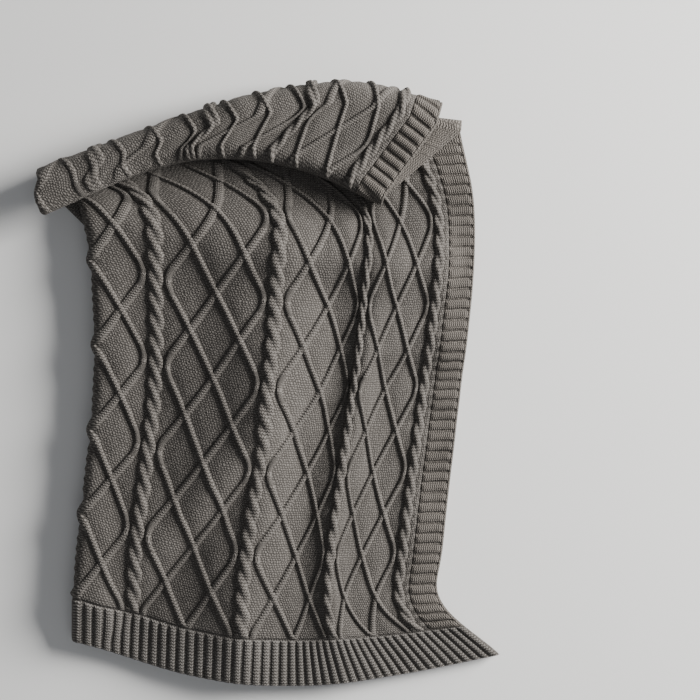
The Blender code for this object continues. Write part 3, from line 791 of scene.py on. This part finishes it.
def column_group(group, do):
    """Knit columns: each stitch is a V whose two legs lean out from the middle of its column."""
    sockets(group, "INPUT", Vector=None, Stitch=0.004, Lean=0.9)
    sockets(group, "OUTPUT", Height=0.0)
    put, out = group_ends(group)
    parts = group.nodes.new("ShaderNodeSeparateXYZ")
    group.links.new(put["Vector"], parts.inputs[0])
    column = do("FRACT", do("ADD", parts.outputs[0], 0.5))
    side = do("ABSOLUTE", do("SUBTRACT", column, 0.5))
    along = do("DIVIDE", parts.outputs[1], put["Stitch"])
    phase = do("SUBTRACT", along, do("MULTIPLY", side, put["Lean"]))
    wave = do("COSINE", do("MULTIPLY", phase, 2 * math.pi))
    leg = do("MULTIPLY_ADD", wave, 0.5, 0.5)
    edge = do("COSINE", do("MULTIPLY", do("SUBTRACT", side, 0.25), 4 * math.pi))
    body = do("MULTIPLY_ADD", edge, LEG_SWELL, LEG_BODY)
    group.links.new(do("MULTIPLY", leg, body), out["Height"])


def ground_group(group, do):
    """Reverse stockinette: short uneven purl dashes, each row set a part of a stitch from the next."""
    sockets(group, "INPUT", Vector=None, Row=0.0031, Column=0.0042, Uneven=1.3)
    sockets(group, "OUTPUT", Height=0.0)
    put, out = group_ends(group)
    parts = group.nodes.new("ShaderNodeSeparateXYZ")
    group.links.new(put["Vector"], parts.inputs[0])
    hand = group.nodes.new("ShaderNodeTexNoise")
    hand.inputs["Scale"].default_value = HAND_SCALE
    hand.inputs["Detail"].default_value = 1
    group.links.new(put["Vector"], hand.inputs["Vector"])
    sway = group.nodes.new("ShaderNodeSeparateColor")
    group.links.new(hand.outputs["Color"], sway.inputs[0])
    up, aside = (
        do("MULTIPLY", do("SUBTRACT", sway.outputs[k], 0.5), put["Uneven"])
        for k in (0, 1)
    )
    along = do("ADD", do("DIVIDE", parts.outputs[1], put["Row"]), up)
    across = do("ADD", do("DIVIDE", parts.outputs[0], put["Column"]), aside)
    shift = do("MULTIPLY", do("FLOOR", along), ROW_SHIFT)
    bow = do("COSINE", do("MULTIPLY", do("ADD", across, shift), 2 * math.pi))
    rise = do("SINE", do("MULTIPLY", do("FRACT", along), math.pi))
    dash = do("MULTIPLY_ADD", bow, DASH_SWELL, DASH_BODY)
    group.links.new(do("MULTIPLY", rise, dash), out["Height"])


def wool_and_painted_shade_group(group, do):
    """Heathered wool with painted shade: colour runs from painted shade between the stitches to the yarn's
    lit colour on their tops, with loose fibres.
    """
    grey, dark = (0.2, 0.2, 0.2, 1), (0.05, 0.05, 0.05, 1)
    sockets(group, "INPUT", Vector=None, Height=0.5, Light=grey, Dark=dark, Heather=0.35)
    sockets(group, "OUTPUT", Color=grey, Height=0.0, Roughness=1.0)
    put, out = group_ends(group)
    fibre = group.nodes.new("ShaderNodeTexNoise")
    fibre.inputs["Scale"].default_value = FIBRE_SCALE
    fibre.inputs["Detail"].default_value = 3
    fibre.inputs["Roughness"].default_value = 0.7
    group.links.new(put["Vector"], fibre.inputs["Vector"])
    slow = group.nodes.new("ShaderNodeTexNoise")
    slow.inputs["Scale"].default_value = HEATHER_SCALE
    slow.inputs["Detail"].default_value = 2
    group.links.new(put["Vector"], slow.inputs["Vector"])
    spread = do("MULTIPLY", do("SUBTRACT", fibre.outputs["Fac"], 0.5), put["Heather"])
    around = do("SUBTRACT", slow.outputs["Fac"], 0.5)
    drift = do("MULTIPLY_ADD", around, HEATHER_DRIFT, spread)
    # Height sets the colour: painted shade low between the stitches, lit colour on their tops; the heather
    # noise adds the yarn's own uneven tone
    shade_and_heather = do("ADD", put["Height"], drift)
    mix = group.nodes.new("ShaderNodeMix")
    mix.data_type = "RGBA"
    group.links.new(shade_and_heather, mix.inputs["Factor"])
    group.links.new(put["Dark"], mix.inputs[6])
    group.links.new(put["Light"], mix.inputs[7])
    group.links.new(mix.outputs[2], out["Color"])
    high = do("MULTIPLY_ADD", fibre.outputs["Fac"], FIBRE_BUMP, put["Height"])
    rough = do("MULTIPLY_ADD", fibre.outputs["Fac"], ROUGH_SWING, ROUGH_LEAST)
    group.links.new(high, out["Height"])
    group.links.new(rough, out["Roughness"])


def place_group(tree, label, build, **values):
    """A node of a shared group, built when first asked for, with its inputs linked or set."""
    group = bpy.data.node_groups.get(label)
    if group is None:
        group = bpy.data.node_groups.new(label, "ShaderNodeTree")
        build(group, partial(maths, group))
    node = tree.nodes.new("ShaderNodeGroup")
    node.node_tree = group
    for name, value in values.items():
        target = node.inputs[name]
        if isinstance(value, bpy.types.NodeSocket):
            tree.links.new(value, target)
        else:
            target.default_value = value
    return node


def knit_yarn(name, knit, warm, heather, depth):
    """The yarn of one piece: columns on what is raised, purl rows between, and heathered wool over both, with
    painted shade between the stitches.
    """
    material = bpy.data.materials.new(name)
    material.use_nodes = True
    tree = material.node_tree
    shader = tree.nodes["Principled BSDF"]
    flat = tree.nodes.new("ShaderNodeUVMap")
    flat.uv_map = "flat"
    along = tree.nodes.new("ShaderNodeUVMap")
    along.uv_map = "knit"
    raised_part = tree.nodes.new("ShaderNodeAttribute")
    raised_part.attribute_name = "strand"
    columns = place_group(tree, "knit columns", column_group, Vector=along.outputs[0], Stitch=knit.stitch)
    rows = place_group(tree, "purl rows", ground_group, Vector=flat.outputs[0], Row=knit.row, Column=COLUMN)
    both = tree.nodes.new("ShaderNodeMix")
    tree.links.new(raised_part.outputs["Fac"], both.inputs["Factor"])
    tree.links.new(rows.outputs["Height"], both.inputs[2])
    tree.links.new(columns.outputs["Height"], both.inputs[3])
    # Light is the yarn's lit colour on the stitches' tops; Dark is the painted shade between them, where the
    # stitches sink
    light = tuple(c * w for c, w in zip(knit.yarn_light, warm)) + (1,)
    wool = place_group(tree, "heathered wool", wool_and_painted_shade_group, Vector=flat.outputs[0], Height=both.outputs[0],
                       Light=light, Dark=tuple(knit.yarn_painted_shade) + (1,), Heather=heather)
    bump = tree.nodes.new("ShaderNodeBump")
    bump.inputs["Strength"].default_value = 1.0
    bump.inputs["Distance"].default_value = depth
    tree.links.new(wool.outputs["Height"], bump.inputs["Height"])
    tree.links.new(wool.outputs["Color"], shader.inputs["Base Color"])
    tree.links.new(wool.outputs["Roughness"], shader.inputs["Roughness"])
    tree.links.new(bump.outputs[0], shader.inputs["Normal"])
    shader.inputs["Specular IOR Level"].default_value = 0.25
    shader.inputs["Sheen Weight"].default_value = 0.12
    shader.inputs["Sheen Roughness"].default_value = 0.6
    shader.inputs["Sheen Tint"].default_value = (0.62, 0.58, 0.54, 1)
    return material


def clear_selection():
    for obj in list(bpy.context.selected_objects):
        obj.select_set(False)
    bpy.context.view_layer.objects.active = None


def dress(piece, node, material):
    """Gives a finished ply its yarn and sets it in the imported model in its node's stead."""
    piece.data.materials.append(material)
    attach(piece, "root")
    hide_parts(node)


class THROW_OT_centre_panel(Operator):
    """Knit the centre panel: lattice panels between rope cables on a purl ground"""

    bl_idname = "throw.centre_panel"
    bl_label = "Centre panel"
    bl_options = {"REGISTER", "UNDO"}

    def execute(self, context):
        clear_selection()
        knit = context.scene.throw_knit
        reach = WIDTH / 2 - BORDER - PIECE_GAP / 2
        box = ((-reach, reach), (END_BORDER + PIECE_GAP / 2, LENGTH - END_BORDER - PIECE_GAP / 2))
        loop = edge_loop(box, plain_marks_s(), plain_marks_t(FOLDS))
        outer = lattice_sets(FOLDS, box) + [fold_rows(FOLDS, box, spread(0.05, 11, 0.025, 23), True)]
        inner = [fold_rows(FOLDS, box, spread(0.05, 11, 0.02, 28), False)]
        fade = 0.005

        def relief(s, t):
            ends = step((t - box[1][0]) / fade) * step((box[1][1] - t) / fade)
            return knitting(s, t, knit)[0] * FOLDS.shows(s, t) * ends * FOLDS.slack(s, t)

        piece = closed_ply("throw_centre", FOLDS, loop, outer, inner, relief, lattice_stitches)
        yarn = knit_yarn("lattice and cable yarn", knit, (1.0, 1.0, 1.0), 0.55, 0.0013)
        dress(piece, "centre_panel", yarn)
        return {"FINISHED"}


class THROW_OT_side_borders(Operator):
    """Knit the two side borders: ribs square to the long edge and a chain along it"""

    bl_idname = "throw.side_borders"
    bl_label = "Side borders"
    bl_options = {"REGISTER", "UNDO"}

    def execute(self, context):
        clear_selection()
        knit = context.scene.throw_knit
        yarn = knit_yarn("side rib yarn", knit, (1.03, 1.0, 0.97), 0.50, 0.0012)
        near, far = WIDTH / 2 - BORDER + PIECE_GAP / 2, WIDTH / 2
        along = (END_BORDER + PIECE_GAP / 2, LENGTH - END_BORDER - PIECE_GAP / 2)
        plain_t = plain_marks_t(FOLDS)
        ribs = [END_BORDER + m for m in rib_marks(0.0, LENGTH - 2 * END_BORDER)]

        def marks_t(s):
            if s < far - 0.001:
                return plain_t(s)
            return sorted(ribs + [t for t in FOLDS.rows(1.0) if min(abs(t - r) for r in ribs) > 0.0007])

        def relief(s, t):
            inward = far - s
            band = step((s - near) / RIB_FADE) * step((inward - 0.0045) / 0.003)
            chain = knit.rib_high * 0.55 * dome(inward - SELVEDGE / 2, SELVEDGE / 2)
            link = 0.72 + 0.28 * np.cos(2 * math.pi * (t - END_BORDER) / LINK_PITCH)
            height = knit.rib_high * rib(from_rib(t - END_BORDER)) * band + chain * link
            return height * FOLDS.shows(s, t)

        for side, node in ((1, "side_border_right"), (-1, "side_border_left")):
            box = ((near, far), along) if side > 0 else ((-far, -near), along)
            loop = edge_loop(box, plain_marks_s(), marks_t)
            columns = [box[0][0] + x for x in (0.009, 0.018, 0.027, 0.036, 0.045)]
            inner = [fold_rows(FOLDS, box, columns, False)]
            outer = list(inner)
            if side > 0:
                grid = np.array([[(near + x, t) for t in ribs] for x in SIDE_STEPS])
                keep = shown_in(FOLDS, grid.reshape(-1, 2), box, EDGE_CLEAR).reshape(grid.shape[:2])
                outer = [chains(grid.transpose(1, 0, 2), keep.T), fold_rows(FOLDS, box, columns, True)]
            name = "throw_side_right" if side > 0 else "throw_side_left"
            piece = closed_ply(name, FOLDS, loop, outer, inner, relief, side_stitches)
            dress(piece, node, yarn)
        return {"FINISHED"}


class THROW_OT_end_borders(Operator):
    """Knit the two end borders: ribs that run along the throw, across its whole width"""

    bl_idname = "throw.end_borders"
    bl_label = "End borders"
    bl_options = {"REGISTER", "UNDO"}

    def execute(self, context):
        clear_selection()
        knit = context.scene.throw_knit
        yarn = knit_yarn("hem rib yarn", knit, (0.98, 1.0, 1.02), 0.50, 0.0012)

        def relief(s, t):
            band = step((END_BORDER - t) / RIB_FADE) * (0.45 + 0.55 * step(t / 0.006))
            return knit.rib_high * rib(from_rib(s)) * band * FOLDS.shows(s, t) * (t < END_BORDER)

        for front in (True, False):
            hem, far = (0.0, END_BORDER - PIECE_GAP / 2), (LENGTH - END_BORDER + PIECE_GAP / 2, LENGTH)
            box = ((-WIDTH / 2, WIDTH / 2), hem if front else far)
            ribs = rib_marks(NOSE + 0.002, WIDTH / 2)
            marks_s = plain_marks_s()
            if front:
                marks_s = sorted([s for s in marks_s if s < NOSE + 0.001] + ribs)
            loop = edge_loop(box, marks_s, plain_marks_t(FOLDS))
            columns = spread(0.04, 15, 0.02, 30)
            inner = [fold_rows(FOLDS, box, columns, False)]
            outer = list(inner)
            if front:
                shown = nose_columns()[NOSE_POINTS // 2:] + ribs
                grid = np.array([[(s, t) for t in HEM_STEPS] for s in shown])
                keep = clear_of(grid.reshape(-1, 2), box, EDGE_CLEAR).reshape(grid.shape[:2])
                left = [s for s in columns if s < -0.001]
                outer = [chains(grid, keep), fold_rows(FOLDS, box, left, False)]
            name = "throw_end_front" if front else "throw_end_back"
            node = "end_border_front" if front else "end_border_back"
            piece = closed_ply(name, FOLDS, loop, outer, inner, relief, end_stitches)
            dress(piece, node, yarn)
        return {"FINISHED"}


class THROW_OT_stage(Operator):
    """Set a plain pale floor, soft studio light and the camera over the throw"""

    bl_idname = "throw.stage"
    bl_label = "Stage"
    bl_options = {"REGISTER", "UNDO"}

    def execute(self, context):
        clear_selection()
        stage = context.scene.throw_stage
        bpy.ops.mesh.primitive_plane_add(size=FLOOR_SIZE, location=(0, 0, -FLOOR_DROP))
        floor = context.object
        floor.name = "floor"
        bpy.ops.object.transform_apply(location=True, rotation=True, scale=True)
        material = bpy.data.materials.new("floor paint")
        material.use_nodes = True
        tree = material.node_tree
        shader = tree.nodes["Principled BSDF"]
        place = tree.nodes.new("ShaderNodeTexCoord")
        cloud = tree.nodes.new("ShaderNodeTexNoise")
        cloud.inputs["Scale"].default_value = 3
        tint = tree.nodes.new("ShaderNodeMix")
        tint.data_type = "RGBA"
        tint.inputs[6].default_value = tuple(stage.floor_colour) + (1,)
        tint.inputs[7].default_value = tuple(c * FLOOR_SHADE for c in stage.floor_colour) + (1,)
        tree.links.new(place.outputs["Object"], cloud.inputs["Vector"])
        tree.links.new(cloud.outputs["Fac"], tint.inputs["Factor"])
        tree.links.new(tint.outputs[2], shader.inputs["Base Color"])
        shader.inputs["Roughness"].default_value = 0.9
        floor.data.materials.append(material)
        powers = {"key": stage.key_power, "fill": stage.fill_power}
        for name, spot, size, colour in LAMPS:
            facing = (AIM - Vector(spot)).to_track_quat("-Z", "Y").to_euler()
            bpy.ops.object.light_add(type="AREA", location=spot, rotation=facing)
            lamp = context.object
            lamp.name = f"{name} light"
            lamp.data.energy = powers[name]
            lamp.data.size = size
            lamp.data.color = colour
        world = bpy.data.worlds.new("studio")
        world.use_nodes = True
        back = world.node_tree.nodes["Background"]
        back.inputs["Color"].default_value = WORLD_COLOUR
        back.inputs["Strength"].default_value = WORLD_STRENGTH
        context.scene.world = world
        bpy.ops.object.camera_add(location=(AIM.x, AIM.y, stage.camera_high), rotation=(0, 0, 0))
        camera = context.object
        camera.name = "camera"
        camera.data.sensor_width = SENSOR
        camera.data.lens = SENSOR * (stage.camera_high - AIM_HIGH) / stage.width_seen
        camera.data.clip_end = 50
        context.scene.camera = camera
        return {"FINISHED"}


class THROW_PT_panel(Panel):
    """The throw's steps, sizes and colours"""

    bl_idname = "THROW_PT_panel"
    bl_label = "Cable knit throw"
    bl_space_type = "VIEW_3D"
    bl_region_type = "UI"
    bl_category = "Throw"

    def draw(self, context):
        layout = self.layout
        for operator in OPERATORS:
            layout.operator(operator.bl_idname)
        for group in (context.scene.throw_knit, context.scene.throw_stage):
            box = layout.box()
            for name in group.__annotations__:
                box.prop(group, name)


OPERATORS = (THROW_OT_centre_panel, THROW_OT_side_borders, THROW_OT_end_borders, THROW_OT_stage)
CLASSES = (ThrowKnit, ThrowStage) + OPERATORS + (THROW_PT_panel,)
FOLDS = Folds()


def register():
    for cls in CLASSES:
        bpy.utils.register_class(cls)
    bpy.types.Scene.throw_knit = PointerProperty(type=ThrowKnit)
    bpy.types.Scene.throw_stage = PointerProperty(type=ThrowStage)


def unregister():
    del bpy.types.Scene.throw_stage
    del bpy.types.Scene.throw_knit
    for cls in reversed(CLASSES):
        bpy.utils.unregister_class(cls)


def main():
    register()
    bpy.ops.throw.centre_panel()
    bpy.ops.throw.side_borders()
    bpy.ops.throw.end_borders()
    bpy.ops.throw.stage()


if __name__ == "__main__":
    main()
